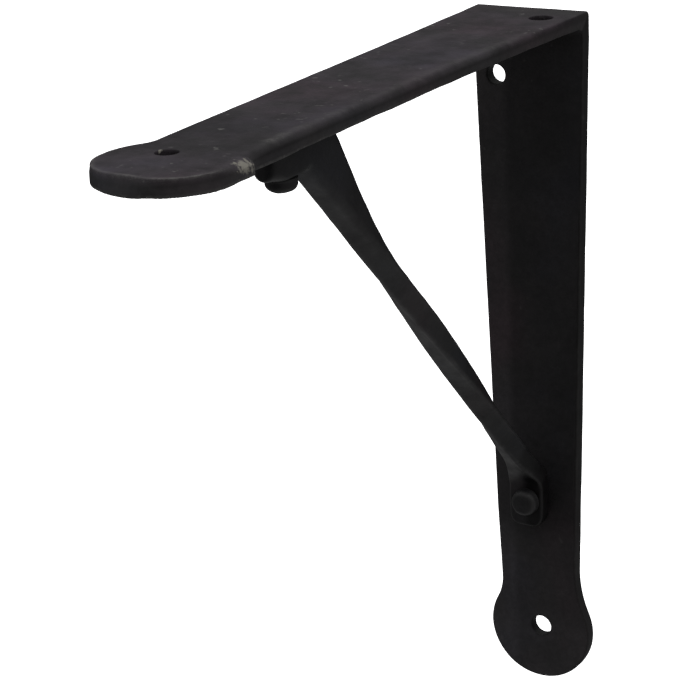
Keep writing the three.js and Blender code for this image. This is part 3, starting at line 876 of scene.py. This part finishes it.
def brace_wear_and_highlight(mark, total, corner, aside):
    """Grey worn corners, but for the lower foot's, and a painted highlight on the left, midway down."""
    on_foot = smoothstep(mark, total - 26, total - 14)
    corners = smoothstep(corner, 0.88, 0.99) * 0.45 * (1 - 0.8 * on_foot)
    painted_highlight = near(mark, 0.455 * total, 9.0) * smoothstep(-aside, 0.3, 2.2)
    return np.clip(corners + 0.55 * painted_highlight, 0, 1)


def brace_painted_shading(share, from_end, aside):
    """Painted highlight on the left midway down, then painted shade, and lower down painted shade on the
    right and painted light on the left.
    """
    bright = between(share, (0.445, 0.475), (0.54, 0.62)) * smoothstep(-aside, -1.5, 0.5)
    shade_band = between(share, (0.55, 0.68), (0.79, 0.84))
    dark_side = smoothstep(share, 0.76, 0.9) * smoothstep(aside, -1.0, 1.5)
    off_foot_front = smoothstep(from_end, 10, 14)
    light_side = smoothstep(share, 0.8, 0.88) * smoothstep(-aside, 0.0, 1.5) * off_foot_front
    return 1 + 0.52 * bright - 0.23 * shade_band - 0.42 * dark_side + 0.2 * light_side


def make_brace():
    rings, marks, total = brace_rings()
    around = rings.shape[1]
    points, faces = loft(rings)
    mesh = mesh_from("twisted_brace_forged", points + np.array([0, 0, SHELF]), faces)
    outward(mesh)
    p = brace_hammered(vertex_values(mesh, "co"), vertex_values(mesh, "normal"))
    set_coordinates(mesh, p)
    middles = rings.mean(1, keepdims=True)
    corner = np.linalg.norm(rings - middles, axis=2)
    corner = (corner / corner.max(1, keepdims=True)).ravel()
    mark = np.repeat(marks, around)
    aside = p[:, 0] - np.repeat(middles[:, 0, 0], around)
    wear_and_highlight = brace_wear_and_highlight(mark, total, corner, aside)
    set_masks(mesh, wear_and_highlight=wear_and_highlight, painted_shading=brace_painted_shading(mark / total, total - mark, aside))
    obj = new_object("twisted_brace_forged", mesh)
    for cutter in rivet_cylinders("cutter", RIVET / 2 + RIVET_GAP, (40, -CUT_PAST), (30, -CUT_PAST)):
        cut(obj, cutter)
    obj.data.transform(Matrix.Scale(MM, 4))
    finish_piece(obj, "root", "twisted_brace", brace_iron)


# The rivets

HEAD_OFF = 0.04  # all that is left between a head and the foot that it is hammered against
# A small chamfer round the head's seat: in from the radius, and down from the top
UNDER_HEAD = [(0.05, 0.1), (0.2, 0.0)]
SHANK_SHORT = 0.15
PROFILE_STEPS = dict(crown=6, edge=15, side=5, shank=12)
AROUND = 72
RIVET_BLOWS = dict(depth=0.2, spacing=3.4, swells=0.07, wavelength=2.2)
RIVET_WEAR = dict(rise=(1.6, 2.6), fall=(2.8, 3.5), strength=0.6)


def rivet_profile(grip):
    """Half of a rivet: (radius, level) from the middle of its pan head to the middle of its tail."""
    radius, edge, height = HEAD["radius"], HEAD["edge"], HEAD["height"]
    pan, rim = radius - edge, HEAD["crown"] - height
    top, tail = SEAT_GAP - HEAD_OFF, grip - TAIL - SHANK_SHORT
    steps = PROFILE_STEPS
    crown = [k / steps["crown"] for k in range(steps["crown"] + 1)]
    profile = [(pan * t, -height + HEAD["crown"] * t ** 2) for t in crown]
    turns = np.linspace(0, math.pi / 2, steps["edge"])[1:]
    profile += [(pan + edge * math.sin(a), rim + edge * (1 - math.cos(a))) for a in turns]
    side = range(1, steps["side"])
    profile += [(radius, rim + edge + (top - rim - edge) * k / steps["side"]) for k in side]
    profile += [(radius - inward, top - down) for inward, down in UNDER_HEAD]
    profile += [(RIVET / 2, top + (tail - top) * k / steps["shank"]) for k in range(steps["shank"] + 1)]
    return profile + [(0.0, tail)]


def lathe(name, profile):
    """A closed mesh turned round Y from a profile that starts and ends on it."""
    points, faces = [(0.0, profile[0][1], 0.0)], []
    for r, y in profile[1:-1]:
        for k in range(AROUND):
            a = 2 * math.pi * k / AROUND
            points.append((r * math.cos(a), y, r * math.sin(a)))
    points.append((0.0, profile[-1][1], 0.0))
    rows = len(profile) - 2
    last = 1 + (rows - 1) * AROUND
    for k in range(AROUND):
        n = (k + 1) % AROUND
        faces.append((0, 1 + k, 1 + n))
        for row in range(rows - 1):
            a, b = 1 + row * AROUND, 1 + (row + 1) * AROUND
            faces.append((a + k, b + k, b + n, a + n))
        faces.append((last + k, len(points) - 1, last + n))
    mesh = mesh_from(name, points, faces)
    outward(mesh)
    return mesh


def make_rivet(name, grip, seed):
    """A rivet along Y: its pan head on the negative side and its shank on the positive one."""
    mesh = lathe(name, rivet_profile(grip))
    p = vertex_values(mesh, "co")
    below = -p[:, 1]
    on_head = smoothstep(below, -0.1, 0.5) * smoothstep(np.hypot(p[:, 0], p[:, 2]), -1, 1)
    blows = RIVET_BLOWS["depth"] * hammer_marks(p, RIVET_BLOWS["spacing"], seed)
    swells = RIVET_BLOWS["swells"] * (1 + value_noise(p, RIVET_BLOWS["wavelength"], seed + 1))
    p = p - vertex_values(mesh, "normal") * (on_head * (blows + swells))[:, None]
    set_coordinates(mesh, p * MM)
    worn = between(-p[:, 1], RIVET_WEAR["rise"], RIVET_WEAR["fall"])
    set_masks(mesh, wear_and_highlight=worn * RIVET_WEAR["strength"])
    return new_object(name, mesh)


def make_rivets():
    upper_grip = UPPER_SEAT + BRACE["upper_thickness"] + SEAT_GAP
    upper = make_rivet("upper_rivet_forged", upper_grip, 41)
    upright = Matrix.Rotation(math.pi / 2, 4, "X")
    upper_place = Vector((UPPER_RIVET[0], -UPPER_RIVET[1], SHELF - upper_grip)) * MM
    upper.data.transform(Matrix.Translation(upper_place) @ upright)
    finish_piece(upper, "root", "upper_rivet", rivet_iron)
    lower_grip = LOWER_SEAT + BRACE["lower_thickness"] + SEAT_GAP
    lower = make_rivet("lower_rivet_forged", lower_grip, 51)
    lower_place = Vector((LOWER_RIVET[0], -lower_grip, SHELF - LOWER_RIVET[1])) * MM
    lower.data.transform(Matrix.Translation(lower_place))
    finish_piece(lower, "root", "lower_rivet", rivet_iron)


make_bar()
make_brace()
make_rivets()


# The stage: a plain pale floor, seen by the camera but kept off the black iron

FLOOR_HALF, FLOOR_LEVEL, FLOOR_COLOUR, FLOOR_ROUGHNESS = 30, -0.5, (0.86, 0.86, 0.86), 0.95


def pale_material(name):
    material = bpy.data.materials.new(name)
    material.use_nodes = True
    shader = material.node_tree.nodes["Principled BSDF"]
    shader.inputs["Base Color"].default_value = (*FLOOR_COLOUR, 1)
    shader.inputs["Roughness"].default_value = FLOOR_ROUGHNESS
    shader.inputs["Specular IOR Level"].default_value = 0.0
    shader.inputs["Emission Color"].default_value = (1, 1, 1, 1)
    shader.inputs["Emission Strength"].default_value = 1.0
    material.cycles.emission_sampling = "NONE"
    return material


floor_corners = [(x * FLOOR_HALF, y * FLOOR_HALF, 0) for x, y in ((-1, -1), (1, -1), (1, 1), (-1, 1))]
floor = new_object("floor", mesh_from("floor", floor_corners, [(0, 1, 2, 3)]))
floor.location = (0, 0, FLOOR_LEVEL)
floor.data.materials.append(pale_material("pale_floor"))
floor.visible_diffuse = False
floor.visible_glossy = False


# Lights and the world

# How bright the soft studio is on each side of the bracket: left and right, front and wall, below and above
STUDIO = {"X": (0.05, 0.36), "Y": (0.0, 0.03), "Z": (0.54, 1.62)}
LEFT_FILL = dict(place=(-1.6, -0.9, 0.25), target=(0, -0.1, 0), size=(1.0, 1.2), power=2.4)

scene = bpy.context.scene
scene.view_settings.view_transform = "Standard"
scene.view_settings.look = "None"
scene.view_settings.exposure = 0
scene.view_settings.gamma = 1


def make_world():
    """A white studio whose brightness is a soft lobe for each side."""
    world = bpy.data.worlds.new("studio")
    scene.world = world
    world.use_nodes = True
    tree = world.node_tree
    tree.nodes.clear()
    split = node(tree, "ShaderNodeSeparateXYZ")
    tree.links.new(node(tree, "ShaderNodeTexCoord").outputs["Generated"], split.inputs[0])
    brightness = 0.0
    for axis, strengths in STUDIO.items():
        for sign, strength in zip((-1.0, 1.0), strengths):
            facing = arithmetic(tree, "MULTIPLY", split.outputs[axis], sign)
            facing = arithmetic(tree, "MAXIMUM", facing, 0.0)
            lobe = arithmetic(tree, "MULTIPLY", arithmetic(tree, "MULTIPLY", facing, facing), strength)
            brightness = arithmetic(tree, "ADD", lobe, brightness)
    background = node(tree, "ShaderNodeBackground")
    background.inputs["Color"].default_value = (1, 1, 1, 1)
    tree.links.new(brightness, background.inputs["Strength"])
    tree.links.new(background.outputs[0], node(tree, "ShaderNodeOutputWorld").inputs["Surface"])


def soft_light(name, place, target, size, power):
    data = bpy.data.lights.new(name, "AREA")
    data.shape = "RECTANGLE"
    data.size, data.size_y = size
    data.energy = power
    light = bpy.data.objects.new(name, data)
    scene.collection.objects.link(light)
    light.location = place
    light.rotation_euler = (Vector(target) - Vector(place)).to_track_quat("-Z", "Y").to_euler()


make_world()
soft_light("left_fill", **LEFT_FILL)


# The camera, at the photograph's place

AZIMUTH, ELEVATION, ROLL = 31.5381, 18.6888, -2.6431
FOCAL_PIXELS, PIXELS = 2385.63, 680
DISTANCE = 19.379 * BAR_WIDTH
POINT_X, POINT_Y = 533.9654, 6.1368  # where the top back edge's middle is in the picture
SENSOR = 36


def make_camera():
    """A camera that turns round the top back edge's middle and looks past it, as the photograph's did."""
    azimuth, elevation, roll = (math.radians(angle) for angle in (AZIMUTH, ELEVATION, ROLL))
    towards = Vector((math.sin(azimuth) * math.cos(elevation), -math.cos(azimuth) * math.cos(elevation),
                      math.sin(elevation)))
    level = Vector((math.cos(azimuth), math.sin(azimuth), 0))
    upward = towards.cross(level)
    right = level * math.cos(roll) + upward * math.sin(roll)
    upright = upward * math.cos(roll) - level * math.sin(roll)
    offset_x = (POINT_X - PIXELS / 2) / FOCAL_PIXELS * DISTANCE
    offset_y = -(POINT_Y - PIXELS / 2) / FOCAL_PIXELS * DISTANCE
    place = towards * DISTANCE - right * offset_x - upright * offset_y + Vector((0, 0, SHELF))
    data = bpy.data.cameras.new("camera")
    data.sensor_fit = "HORIZONTAL"
    data.sensor_width = SENSOR
    data.lens = SENSOR * FOCAL_PIXELS / PIXELS
    data.clip_start = 0.01
    data.clip_end = 100
    camera = bpy.data.objects.new("camera", data)
    scene.collection.objects.link(camera)
    turn = Matrix((right, upright, towards)).transposed().to_4x4()
    camera.matrix_world = Matrix.Translation(place * MM) @ turn
    scene.camera = camera


make_camera()
